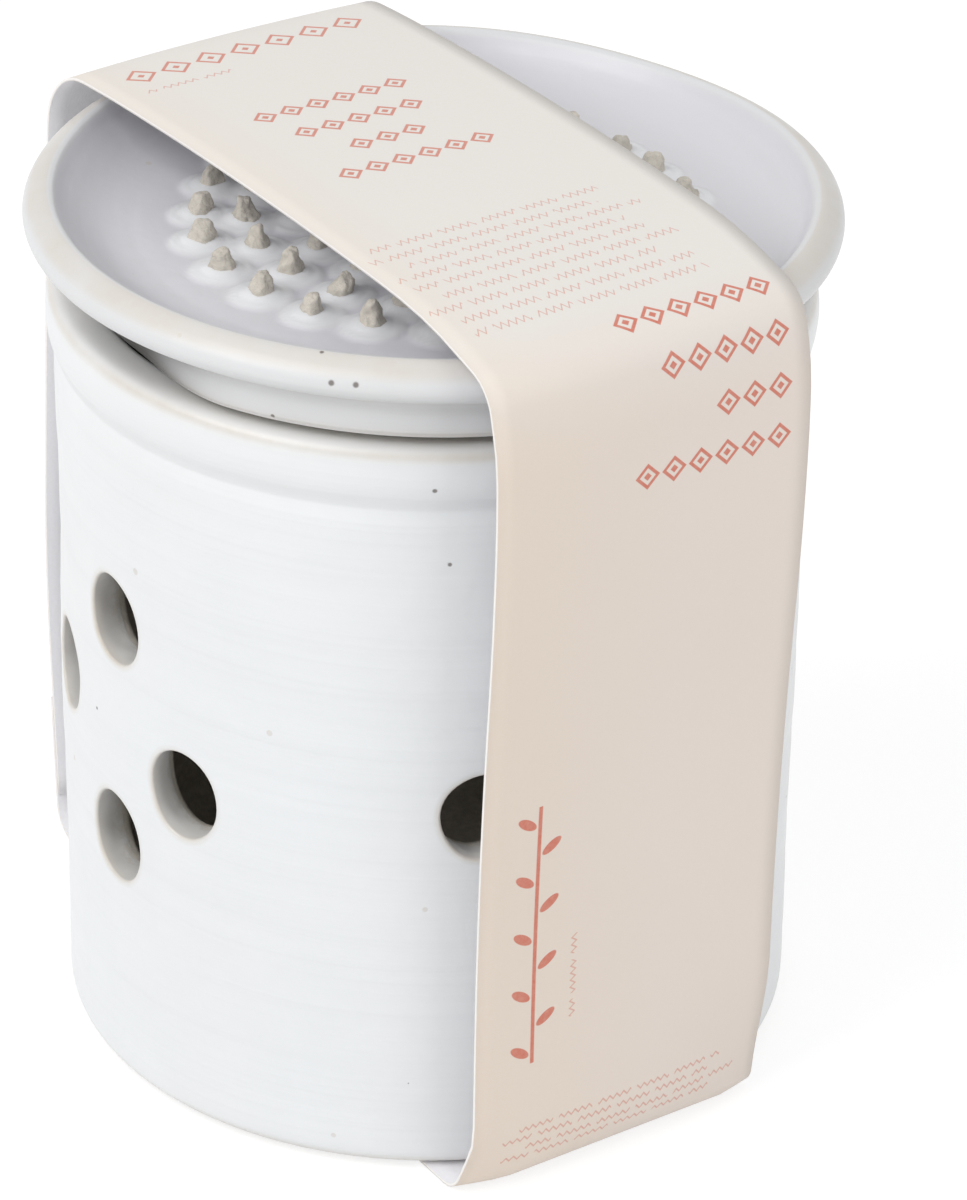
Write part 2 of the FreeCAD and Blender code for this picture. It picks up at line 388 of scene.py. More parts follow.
def bare_clay(name, clay, floor):
    """Rough fired clay of the nibs. White glaze creeps up from the dish and sits in shiny patches."""
    f = Finish(name, 0.72, 0.4)
    parts = f.add('ShaderNodeSeparateXYZ', {0: f.place})
    up = (Sum(f.tree, parts.outputs["Z"]) - floor) * 1000
    lump = f.cloud(430.0, 3.0, 0.6)
    grain = f.cloud(1500.0, 3.0, 0.65)
    colour = f.mix(lump.step(0.3, 0.7), tint(clay, 0.84), tint(clay, 1.12))
    colour = f.mix(grain.step(0.5, 0.75) * 0.5, colour, tint(clay, 0.62))
    glazed = (lump * 1.6 + grain * 0.5 - up * 0.16).step(1.0, 1.22)
    f.colour(f.mix(glazed * 0.8, colour, (0.80, 0.785, 0.765)))
    f.rough(glazed * -0.45 + 0.72)
    f.relief(lump * 0.6 + grain * 0.4, 0.0006)
    return f.material


def printed_card(name, card, card_top_painted_light, ink):
    """Smooth pale card with a simple ornament in one ink. Across and along are in millimetres."""
    f = Finish(name, 0.55, 0.35)
    x, y = f.value("across"), f.value("along")

    def lozenges(middle, count, at, pitch):
        """A row of outlined lozenges, each with a dot in it."""
        x0, x1 = middle - count * pitch / 2, middle + count * pitch / 2
        around = abs((x - x0).wrap(pitch)) + abs(y - at)
        line = abs(around - pitch * 0.38).step(0.44, 0.3) + around.step(0.75, 0.6)
        return line * x.within(x0, x1) * y.within(at - pitch * 0.6, at + pitch * 0.6)

    def zigzags(u, v, u0, u1, v0, v1, pitch):
        """Fine zigzag lines, one above the other, broken into short runs of uneven length."""
        row = (v - v0).of('DIVIDE', pitch).of('FLOOR')
        sway = (row * 2.3).of('SINE') * 2.5
        tooth = abs((u - u0).wrap(1.3)) * (pitch * 0.62)
        line = abs((v - v0).of('FLOORED_MODULO', pitch) - tooth - pitch * 0.3).step(0.26, 0.12)
        gaps = (u + row * 3.7).of('FLOORED_MODULO', 7.3).step(1.0, 1.2)
        ends = (u + sway - u0).step(2.5, 2.6) * (u + sway * 1.3 - u1).step(-3.2, -3.3)
        return line * gaps * ends * v.within(v0, v1)

    def twig(x0, y0, y1):
        """Upright twig with leaves on alternate sides."""
        side = (y - y0).of('DIVIDE', 5.2).of('FLOOR').of('FLOORED_MODULO', 2.0) * 2.0 - 1.0
        out, up = (x - x0) * side - 2.3, (y - y0).wrap(5.2)
        long, wide = out * 0.82 - up * 0.57, out * 0.57 + up * 0.82
        leaf = (long * long * 0.24 + wide * wide * 1.3).step(1.0, 0.8)
        stem = abs(x - x0).step(0.4, 0.28)
        return (leaf + stem).clamped() * y.within(y0, y1)

    print_ = twig(10.3, 73.0, 119.8)
    for k, count in enumerate((6, 5, 3, 6)):
        print_ = print_ + lozenges(51.8 - count * 2.35, count, -4.0 + 8.2 * k, 4.7)
        print_ = print_ + lozenges(27.0, count, -84.9 + 8.1 * k, 4.7) * 0.9
    print_ = print_ + lozenges(27.0, 7, -110.0, 6.3) * 0.9
    fine = zigzags(x, y, 3.0, 24.0, -105.0, -102.6, 2.4) + zigzags(x, y, 1.0, 47.0, -39.0, -9.0, 3.3)
    fine = fine + zigzags(x, y, 5.0, 50.0, 131.0, 138.6, 1.9) + zigzags(y, x, 96.0, 117.0, 16.4, 18.6, 2.2)
    print_ = print_ + fine * 0.6
    cloud = f.cloud(24.0, 2.0)
    fibre = f.cloud(1500.0, 2.0, 0.7)
    # paler and cooler over the lid, which is painted light from above, and a little warmer towards the left
    # edge, there and on the front, which is painted warm bounce light
    over = y.step(12.0, -9.0) * y.step(-165.0, -130.0)
    edge = x.step(12.0, 2.0) * over * 0.6
    left = x.step(34.0, 0.0) * (over * -1 + 1) * 0.9
    paper = f.mix(over * (cloud.step(0.3, 0.7) * 0.2 + 0.8), card, card_top_painted_light)
    paper = f.mix(edge, paper, (card[0] * 1.02, card[1] * 1.05, card[2] * 1.04))
    paper = f.mix(left, paper, (card[0], card[1] * 0.97, card[2] * 0.92))
    paper = f.mix(cloud.step(0.3, 0.7) * 0.35, paper, (0.98, 0.96, 0.95), 'MULTIPLY')
    paper = f.mix(fibre.step(0.4, 0.75) * 0.08, paper, (0.9, 0.9, 0.9), 'MULTIPLY')
    f.colour(f.mix((print_ * (fibre * 0.35 + 0.72)).clamped(), paper, ink))
    f.relief(cloud * 0.8 + fibre * 0.05, 0.0003)
    return f.material


def plain_card(name, card):
    """Unprinted board: the sleeve's inside and its cut edges."""
    f = Finish(name, 0.75, 0.25)
    cloud = f.cloud(40.0, 3.0)
    fibre = f.cloud(1800.0, 2.0, 0.7)
    paper = f.mix(cloud.step(0.3, 0.7), tint(card, 0.97), tint(card, 1.02))
    f.colour(f.mix(fibre.step(0.45, 0.8) * 0.18, paper, tint(card, 0.82)))
    f.relief(fibre, 0.00004)
    return f.material


def set_adhesive(name):
    """Dry amber-white adhesive under the sleeve's lap."""
    f = Finish(name, 0.4)
    streak = f.cloud(220.0, 3.0, 0.6, warp=1.0)
    f.colour(f.mix(streak.step(0.3, 0.7), (0.74, 0.66, 0.48), (0.84, 0.79, 0.66)))
    f.relief(streak, 0.0001)
    return f.material


def directly_seen(tree):
    """1 for what the camera sees, directly, in a reflection or through something, else 0."""
    paths = tree.nodes.new('ShaderNodeLightPath')
    camera, glossy, through = (Sum(tree, paths.outputs[ray])
                               for ray in ("Is Camera Ray", "Is Glossy Ray", "Is Transmission Ray"))
    return (camera + glossy + through).clamped()


def studio_white(name):
    """Floor that looks white to the camera but keeps the keeper's soft shadow."""
    material = bpy.data.materials.new(name)
    material.use_nodes = True
    tree = material.node_tree
    tree.nodes.clear()
    glow = add_node(tree, 'ShaderNodeEmission', {"Strength": 0.76})
    faint = add_node(tree, 'ShaderNodeBsdfDiffuse', {"Color": (0.34, 0.34, 0.34, 1)})
    both = add_node(tree, 'ShaderNodeAddShader', {0: glow.outputs[0], 1: faint.outputs[0]})
    paper = add_node(tree, 'ShaderNodeBsdfDiffuse', {"Color": (0.86, 0.86, 0.86, 1)})
    choose = add_node(tree, 'ShaderNodeMixShader',
                      {0: directly_seen(tree), 1: paper.outputs[0], 2: both.outputs[0]})
    add_node(tree, 'ShaderNodeOutputMaterial', {0: choose.outputs[0]})
    return material


# ---- the pot

class Hole:
    """One air hole: an upright oval, cut straight through the wall by hand, so never quite true."""

    def __init__(self, heading, height, width, tall, seed):
        self.heading = math.radians(heading)
        self.height = height
        self.a = width / 2
        self.b = tall / 2
        rng = np.random.default_rng(seed)
        self.turns = np.linspace(0, 2 * math.pi, 44, endpoint=False)
        self.true = 1 + sum(rng.uniform(-0.018, 0.018) * np.sin(k * self.turns + rng.uniform(0, 6.3))
                            for k in (2, 3, 4))
        self.rng = rng

    def ring(self, spread):
        """Sideways distance and height of the oval's points, spread out from the cut by a distance."""
        return ((self.a * self.true + spread) * np.cos(self.turns),
                self.height + (self.b * self.true + spread) * np.sin(self.turns))

    def points(self, spread, reach, aside=0.0):
        """Points of the ring, where reach gives the distance out along the hole for each."""
        side, up = self.ring(spread)
        side = side + aside
        out = reach(side)
        c, s = math.cos(self.heading), math.sin(self.heading)
        return np.stack([out * c - side * s, out * s + side * c, up], -1)


def wall_patch(columns, rows, flat_of, holes, spread):
    """Triangles of a rectangle of wall around its holes.

    columns and rows are the patch's own grid lines on the flattened wall. Returns the numbers of the grid's
    points that are kept, and triangles of those points and of the holes' rings, which follow in order."""
    grid = [(x, z) for z in rows for x in columns]
    keep = []
    for i, (x, z) in enumerate(grid):
        on_rim = i < len(columns) or i >= len(grid) - len(columns) or x in (columns[0], columns[-1])
        clear = all(((x - flat_of(h)) / (h.a + spread + 1.4)) ** 2
                    + ((z - h.height) / (h.b + spread + 1.4)) ** 2 > 1 for h in holes)
        if on_rim or clear:
            keep.append(i)
    flat = [Vector(grid[i]) for i in keep]
    edges = []
    for h in holes:
        first = len(flat)
        side, up = h.ring(spread)
        n = len(side)
        flat += [Vector((flat_of(h) + s, u)) for s, u in zip(side, up)]
        edges += [(first + k, first + (k + 1) % n) for k in range(n)]
    _, _, faces, sources, _, _ = delaunay_2d_cdt(flat, edges, [], 0, 1e-7)
    home = [src[0] for src in sources]
    triangles = []
    for face in faces:
        ids = [home[i] for i in face]
        rings = {(i - len(keep)) // len(holes[0].turns) if i >= len(keep) else None for i in ids}
        # a triangle with all its corners on one hole's ring lies inside that hole
        if rings == {None} or len(rings) > 1:
            triangles.append(ids)
    return keep, triangles


def thrown_pot(size):
    """Points, faces and values of the whole pot, in millimetres."""
    sides = 160
    wall_r, inner_r = size.wall_radius / MM, (size.wall_radius - size.wall) / MM
    lip = size.lip_height / MM
    edge = size.hole_round / MM
    apron = 0.8
    middle = size.hole_middle / MM
    hole_rows = list(np.linspace(middle - 33, middle + 33, 31))
    low, high = hole_rows[0], hole_rows[-1]

    # outline from the middle of the underside, up the outside, over the lip and down to the inner floor
    outline = run((2.0, 1.7), (46.5, 1.7), 4.5) + [(46.5, 1.7), (47.1, 1.3), (47.5, 0.8), (48.2, 0.5)]
    outline += run((50.0, 0.5), (54.6, 0.5), 1.6) + round_of((wall_r - 3, 3.5), 3.0, -90, 0, 7)
    outline += run((wall_r, 5.5), (wall_r, low), 3.0)
    outer_first = len(outline)
    outline += [(wall_r, z) for z in hole_rows]
    outline += run((wall_r, high + 2.2), (wall_r, lip - 13.5), 2.4)
    # the groove and the collar, by how far out and how far below the lip
    outline += soft_curve([(wall_r + out, lip - down) for out, down in (
        (0, 13.0), (-0.22, 11.2), (-0.3, 10.4), (0.15, 9.2), (0.75, 7.7), (1.1, 5.2), (0.95, 2.6),
        (0.65, 1.4), (0.1, 0.55), (-0.9, 0.1), (-2.2, 0))], 3)
    outline += [(wall_r - 3.3, lip - 0.02), (wall_r - 4.3, lip - 0.02)]
    outline += round_of((inner_r + 1.5, lip - 1.5), 1.5, 90, 180, 5)
    outline += run((inner_r, lip - 4), (inner_r, high), 4.0)
    inner_first = len(outline)
    outline += [(inner_r, z) for z in reversed(hole_rows)]
    outline += run((inner_r, low - 4), (inner_r, 13.0), 4.0) + round_of((inner_r - 5.5, 13.0), 5.5, 0, -90, 6)
    outline += run((43.0, 7.5), (3.0, 7.5), 5.0)
    outline = np.array(outline)

    points = [spun(outline, sides)]
    ring_of = lambda k: k * sides

    # how bare and how worn the glaze is along the outline
    bare = np.zeros(len(outline))
    worn = np.zeros(len(outline))
    for k, (radius, height) in enumerate(outline):
        inside = radius < inner_r + 0.01 and height > 6
        underneath = height < 0.75 or radius < 47 and height < 2
        bare[k] = 1.0 if inside and height < lip - 4 else 0.85 if underneath else 0
        worn[k] = max(math.exp(-((height - (lip - 1.1)) / 0.8) ** 2) * (0.6 if radius > wall_r - 1 else 0.35),
                      0.6 * math.exp(-((height - 1.0) / 1.2) ** 2), 0.25 if height > lip - 0.3 else 0)
    clay = [np.repeat(bare, sides)]
    thin = [np.repeat(worn, sides)]
    faces = []

    # the four diamonds of holes
    holed = set()
    count = len(points[0])
    for d, diamond in enumerate(AIR_HOLE_DIAMONDS):
        centre = round(diamond / 360 * sides)
        span = range(centre - 15, centre + 14)
        holed.update(k % sides for k in span[:-1])
        stray = lambda k: STRAY_HOLE[2:] if (d, k) == STRAY_HOLE[:2] else (0.0, 0.0)
        holes = [Hole(diamond + turn + stray(k)[0], middle + up + stray(k)[1], size.hole_width / MM,
                      size.hole_height / MM, 10 * d + k) for k, (turn, up) in enumerate(DIAMOND)]
        rings = []
        for h in holes:
            steps = [(edge + apron, lambda s: np.sqrt(wall_r ** 2 - s ** 2), 'wall')]
            for spread, bend in [(edge * (1 - math.sin(b)), edge * (1 - math.cos(b)))
                                 for b in np.radians([0, 22.5, 45, 67.5, 90])]:
                steps.append((spread, lambda s, c=bend: np.sqrt(wall_r ** 2 - s ** 2) - c, 'edge'))
            for part in (0.25, 0.45, 0.65, 0.85):
                steps.append((0.55 * part, lambda s, p=part: (np.sqrt(wall_r ** 2 - s ** 2) - edge) * (1 - p)
                              + (np.sqrt(inner_r ** 2 - s ** 2) + 0.7) * p, 'tunnel'))
            for spread, bend in ((0.6, 0.7), (0.8, 0.2), (1.3, 0.0)):
                steps.append((spread, lambda s, c=bend: np.sqrt(inner_r ** 2 - s ** 2) + c, 'inner'))
            own = []
            for k, (spread, reach, kind) in enumerate(steps):
                lump = 0.0
                if kind == 'tunnel':
                    lump = sum(h.rng.uniform(-0.12, 0.12) * np.sin(q * h.turns + h.rng.uniform(0, 6.3))
                               for q in (2, 3, 5, 7)) - 0.12
                # the cutter leaned, so the tunnels drift to one side on their way in
                pts = h.points(spread + lump, reach, -0.8 * min(max(k - 5, 0) / 4, 1))
                own.append(count)
                points.append(pts)
                n = len(pts)
                count += n
                side = 0.5 + 0.5 * np.cos(h.turns - math.radians(215))
                if kind == 'wall':
                    amount, thinned = np.zeros(n), np.zeros(n)
                elif kind == 'edge':
                    amount = (0.05, 0.2, 0.35, 0.4, 0.3)[k - 1] * (0.35 + 0.75 * side)
                    thinned = (0.45, 0.8, 0.9, 0.9, 0.7)[k - 1] * (0.45 + 0.55 * side)
                elif kind == 'tunnel':
                    amount, thinned = np.full(n, 0.08 + 0.11 * (k - 5)), np.full(n, 0.4)
                else:
                    amount, thinned = np.full(n, 0.9), np.full(n, 0.3)
                clay.append(amount)
                thin.append(thinned)
            for a, b in zip(own, own[1:]):
                faces += list(spin_faces(a, b, len(h.turns)))
            rings.append((own[0], own[-1]))
        for first, radius, spread, which, flip, aside in ((outer_first, wall_r, edge + apron, 0, False, 0.0),
                                                          (inner_first, inner_r, 1.3, 1, True, -0.8)):
            columns = [radius * (k - centre) * 2 * math.pi / sides for k in span]

            def flat_of(h):
                return radius * (h.heading - centre * 2 * math.pi / sides) + aside

            keep, triangles = wall_patch(columns, hole_rows, flat_of, holes, spread)
            size_of_grid, ring_size = len(keep), len(holes[0].turns)

            def whole(i):
                """Index in the pot of a patch point."""
                if i < size_of_grid:
                    row, col = divmod(keep[i], len(columns))
                    if flip:
                        row = len(hole_rows) - 1 - row
                    return ring_of(first + row) + (span[col] % sides)
                h, k = divmod(i - size_of_grid, ring_size)
                return rings[h][which] + k

            for tri in triangles:
                ids = [whole(i) for i in tri]
                faces.append(ids[::-1] if flip else ids)

    # the rest of the turned surface, with its two poles closed
    rows = len(hole_rows) - 1
    for k in range(len(outline) - 1):
        in_holes = outer_first <= k < outer_first + rows or inner_first <= k < inner_first + rows
        skip = holed if in_holes else ()
        faces += [f[::-1] for f in spin_faces(ring_of(k + 1), ring_of(k), sides, skip)]
    for first, height, flip in ((0, 1.7, True), (ring_of(len(outline) - 1), 7.5, False)):
        points.append(np.array([[0, 0, height]]))
        clay.append([1.0])
        thin.append([0.0])
        fan = [(first + k, first + (k + 1) % sides, count) for k in range(sides)]
        faces += [f[::-1] if flip else f for f in fan]
        count += 1
    points = np.concatenate(points)

    # thrown by hand: the wall is a little out of true
    heading = np.arctan2(points[:, 1], points[:, 0])
    wander = 0.13 * ripple(heading, points[:, 2], 3, 6) + 0.05 * ripple(heading, points[:, 2] * 6, 5, 4)
    scale = 1 + wander / wall_r * smooth(0.6, 8, points[:, 2]) * smooth(127.4, 122, points[:, 2])
    points[:, :2] *= scale[:, None]
    used = np.unique(np.array([i for f in faces for i in f]))
    new = np.full(len(points), -1)
    new[used] = np.arange(len(used))
    faces = [[new[i] for i in f] for f in faces]
    return points[used], faces, np.concatenate(clay)[used], np.concatenate(thin)[used]


# ---- the lid

def nib_places(seed):
    """Where each nib stands on the dish: five rings. In millimetres."""
    rng = np.random.default_rng(seed)
    places = []
    for radius, count, first in NIB_RINGS:
        for k in range(count):
            heading = math.radians(first + 360 * k / count + rng.uniform(-0.6, 0.6) * 38 / radius)
            at = radius + rng.uniform(-0.35, 0.35)
            # the rings run in a little on one side
            off = (math.degrees(heading) - 42 + 180) % 360 - 180
            at -= 1.9 * math.exp(-(off / 34) ** 2) * smooth(20, 38, radius)
            places.append((NIB_MIDDLE[0] + at * math.cos(heading), NIB_MIDDLE[1] + at * math.sin(heading)))
    return np.array(places)


def lid_lean(size):
    """Matrix in metres that rocks the lid on the pot's lip, so that one side stands a little higher."""
    up_side = Vector((math.cos(size.lean_heading), math.sin(size.lean_heading), 0))
    rests_at = -SEAT_RADIUS * MM * up_side + Vector((0, 0, SEAT_Z * MM))
    turn = Matrix.Rotation(size.lean, 4, up_side.cross(Vector((0, 0, 1))))
    return Matrix.Translation(rests_at) @ turn @ Matrix.Translation(-rests_at)


def thrown_lid(size, seed):
    """Points, faces and values of the lid, in millimetres."""
    sides = 300
    floor, flat = size.dish_floor / MM, size.dish_flat / MM
    rim, crest = size.rim_radius / MM, size.rim_crest / MM
    seat = SEAT_Z
    outline = [(a, floor) for a in np.linspace(0.7, flat - 0.7, 76)]
    # up the cove, then over the crest, down the sloping rim and in under it
    cove = [(flat + out, floor + up) for out, up in ((0, 0), (3.6, 0.45), (7.0, 1.75), (9.9, 3.9))]
    rolled = [(rim - back, crest - down) for back, down in (
        (4.9, 0.6), (4.3, 0.14), (3.6, 0), (2.7, 0.3), (1.4, 1.15), (0.45, 2.15), (0, 3.3), (0.1, 4.4),
        (0.7, 5.35), (1.6, 6.0), (2.6, 6.5), (4.0, 6.9), (4.75, 7.35), (4.8, 8.2), (4.5, 9.6), (4.6, 11.2),
        (4.95, 12.7))]
    outline += soft_curve(cove + rolled, 4)
    outline += round_of((rim - 6.0, seat + 1.0), 1.0, -8, -90, 4)
    outline += run((55.4, seat), (51.1, seat), 1.5) + [(50.95, seat - 0.4), (50.9, 124.5)]
    outline += round_of((49.9, 122.5), 1.0, 0, -90, 4) + round_of((48.0, 122.5), 1.0, -90, -180, 4)
    outline += [(47.0, 124.6)] + round_of((45.0, 126.2), 2.0, 0, 90, 4)
    outline += run((42.0, LID_UNDER_Z), (2.0, LID_UNDER_Z), 5.0) + [(2.0, LID_UNDER_Z)]
    outline = np.array(outline)
    points = spun(outline, sides)
    faces = []
    for k in range(len(outline) - 1):
        faces += list(spin_faces(k * sides, (k + 1) * sides, sides))
    last = (len(outline) - 1) * sides
    points = np.concatenate([points, [[0, 0, floor], [0, 0, LID_UNDER_Z]]])
    top, under = len(points) - 2, len(points) - 1
    faces += [((k + 1) % sides, k, top) for k in range(sides)]
    faces += [(last + k, last + (k + 1) % sides, under) for k in range(sides)]
    faces = [tuple(reversed(f)) for f in faces]

    # thick glaze stands round each nib and creeps up its foot
    radius = np.hypot(points[:, 0], points[:, 1])
    on_dish = (points[:, 2] > floor - 0.05) & (radius < flat + 1)
    near = np.full(len(points), 99.0)
    for place in nib_places(seed):
        near = np.minimum(near, np.hypot(points[:, 0] - place[0], points[:, 1] - place[1]))
    puddle = size.puddle / MM
    halo = smooth(puddle, puddle * 0.8, near) * on_dish
    points[:, 2] += 0.45 * halo + 0.6 * smooth(3.6, 2.2, near) * on_dish

    # thrown by hand: rim and tier are a little out of true
    heading = np.arctan2(points[:, 1], points[:, 0])
    degrees = np.degrees(heading)
    wander = 0.10 * ripple(heading, points[:, 2], 11, 5) * smooth(129, 134, points[:, 2])
    wander *= smooth(45, 56, radius)
    points[:, :2] *= (1 + wander / rim)[:, None]

    # the rim sags a little at the back
    at_back = np.exp(-((degrees - 52) / 24) ** 2)
    points[:, 2] -= at_back * smooth(48, 58, radius) * smooth(133, 137, points[:, 2])

    # the second tier draws in under the rim on the side that stands higher, and painted shade makes it
    # near-black there
    drawn = smooth(-121, -146, degrees) + smooth(120, 150, degrees)
    tier = np.clip((radius - 51.2) / 6.3, 0, 1) * (points[:, 2] > seat - 0.1)
    depth = drawn * smooth(135.4, 134.0, points[:, 2]) * tier
    points[:, :2] *= (1 - 3.9 * depth / np.maximum(radius, 1))[:, None]
    # painted shade for the gap between rim and lip on the raised side
    gap = 0.97 * smooth(-116, -143, degrees) ** 1.3 * smooth(-179, -154, degrees)
    gap *= (points[:, 2] < 134.6) * (radius > 50.5)

    # the rim's sloping top is thinly glazed, and the glaze pools inside it
    z = points[:, 2]
    outer = radius > rim - 5.2
    worn = smooth(rim - 4.0, rim - 3.5, radius) * smooth(crest - 2.6, crest - 1.2, z) * 0.55
    worn = np.maximum(worn, 0.5 * np.exp(-((z - (crest - 7.0)) / 0.6) ** 2) * outer)
    worn = np.maximum(worn, 0.4 * np.exp(-((z - (seat + 0.5)) / 0.9) ** 2) * outer)
    clay = smooth(seat + 0.25, seat - 0.1, z) * 0.9
    pool = smooth(rim - 4.35, rim - 5.3, radius) * (z > floor - 1)
    return points, faces, clay, worn, pool, halo, gap


# ---- the nibs

def nib_tree(material):
    """Geometry Nodes: a blunt pinched cone on every point, each with its own size, turn, lean and lumps."""
    tree = bpy.data.node_groups.new("Pinched nibs", 'GeometryNodeTree')
    tree.interface.new_socket("Geometry", in_out='INPUT', socket_type='NodeSocketGeometry')
    for name in ("Base radius", "Tip radius", "Height", "Lean", "Lumps"):
        tree.interface.new_socket(name, in_out='INPUT', socket_type='NodeSocketFloat')
    tree.interface.new_socket("Seed", in_out='INPUT', socket_type='NodeSocketInt')
    tree.interface.new_socket("Geometry", in_out='OUTPUT', socket_type='NodeSocketGeometry')

    def add(kind, inputs=(), **settings):
        return add_node(tree, kind, inputs, **settings).outputs

    given = add('NodeGroupInput')
    cone = add('GeometryNodeMeshCone', {
        "Vertices": 18, "Side Segments": 6, "Fill Segments": 1, "Radius Top": given["Tip radius"],
        "Radius Bottom": given["Base radius"], "Depth": given["Height"]}, fill_type='TRIANGLE_FAN')
    soft = add('GeometryNodeSubdivisionSurface', {"Mesh": cone["Mesh"], "Level": 1})

    # each nib has its own lean, turn and size
    lean_down = add('ShaderNodeMath', {0: given["Lean"], 1: -1.0}, operation='MULTIPLY')[0]
    most = add('ShaderNodeCombineXYZ', {"X": given["Lean"], "Y": given["Lean"], "Z": 6.28})
    least = add('ShaderNodeCombineXYZ', {"X": lean_down, "Y": lean_down})
    turn = add('FunctionNodeRandomValue', {"Min": least[0], "Max": most[0], "Seed": given["Seed"]},
               data_type='FLOAT_VECTOR')
    grow = add('FunctionNodeRandomValue', {"Min": (0.86, 0.86, 0.84), "Max": (1.06, 1.06, 1.04),
                                           "Seed": given["Seed"]}, data_type='FLOAT_VECTOR')
    spots = add('GeometryNodeInstanceOnPoints', {"Points": given["Geometry"], "Instance": soft["Mesh"],
                                                 "Rotation": turn["Value"], "Scale": grow["Value"]})

    # and its own lumps
    real = add('GeometryNodeRealizeInstances', {0: spots[0]})
    blur = add('ShaderNodeTexNoise', {"Scale": 380.0, "Detail": 2.5, "Roughness": 0.55,
                                      "Vector": add('GeometryNodeInputPosition')[0]})
    centred = add('ShaderNodeVectorMath', {0: blur["Color"], 1: (0.5, 0.5, 0.5)}, operation='SUBTRACT')
    pinch = add('ShaderNodeVectorMath', {0: centred[0], "Scale": given["Lumps"]}, operation='SCALE')
    move = add('GeometryNodeSetPosition', {0: real[0], "Offset": pinch[0]})
    shade = add('GeometryNodeSetShadeSmooth', {0: move[0]})
    again = add('GeometryNodeRealizeInstances', {0: shade[0]})
    finish = add('GeometryNodeSetMaterial', {0: again[0], "Material": material})
    add('NodeGroupOutput', {0: finish[0]})
    return tree


def grown(name, points, tree, **sizes):
    """Runs a Geometry Nodes tree on loose points and returns the result as a plain mesh object."""
    seed_mesh = bpy.data.meshes.new(name + " points")
    seed_mesh.from_pydata([tuple(p) for p in points], [], [])
    holder = placed(name + " points", seed_mesh)
    modifier = holder.modifiers.new("Nibs", 'NODES')
    modifier.node_group = tree
    for item in tree.interface.items_tree:
        if item.in_out == 'INPUT' and item.name in sizes:
            modifier[item.identifier] = sizes[item.name]
    graph = bpy.context.evaluated_depsgraph_get()
    mesh = bpy.data.meshes.new_from_object(holder.evaluated_get(graph))
    mesh.name = name
    holder.modifiers.clear()
    bpy.data.objects.remove(holder)
    return placed(name, mesh)


# ---- the sleeve

def card_path(width_of_lap):
    """Middle line of the card in millimetres: distance towards the front and height."""
    start = Vector((-66.2, 7.5))
    up = (Vector((-68.5, 52.0)) - start).normalized()
    inward = Vector((up.y, -up.x))

    def on_back(height):
        beside = start - inward * width_of_lap
        return beside + up * ((height - beside.y) / up.y)

    foot, top = on_back(0.25), on_back(26.0)
    corners = [(start.x, start.y, 0), (-68.5, 52.0, 300), (-63.1, 145.4, 12.2), (-4.0, 148.2, 900),
               (44.0, 147.4, 120), (62.4, 143.8, 7), (64.4, 133.0, 40), (64.4, 110.0, 500),
               (60.8, 58.0, 900), (60.8, 0.25, 3.5), (foot.x, 0.25, 5.5), (top.x, top.y, 0)]
    spots = [Vector(c[:2]) for c in corners]
    path, here = [], spots[0]
    marks = []
    for before, at, after, corner in zip(spots, spots[1:], spots[2:], corners[1:]):
        back, ahead = (before - at).normalized(), (after - at).normalized()
        half = back.angle(ahead) / 2
        reach = corner[2] / math.tan(half)
        first, last = at + back * reach, at + ahead * reach
        centre = at + (back + ahead).normalized() * (corner[2] / math.sin(half))
        path += run(tuple(here), tuple(first), 4.0)
        a, b = first - centre, last - centre
        sweep = a.angle_signed(b)
        steps = max(2, round(abs(math.degrees(sweep)) / 7), round(abs(sweep) * corner[2] / 5))
        for k in range(steps):
            turned = Matrix.Rotation(-sweep * k / steps, 2) @ a
            path.append(tuple(centre + turned))
        marks.append(len(path) - steps // 2)
        here = last
    path += run(tuple(here), tuple(spots[-1]), 4.0) + [tuple(spots[-1])]
    path = np.array(path)
    length = np.concatenate([[0], np.cumsum(np.hypot(*np.diff(path, axis=0).T))])
    # 0 is where the top turns down over the rim
    along = length - length[marks[4]]
    return path, along, along[marks[1]]


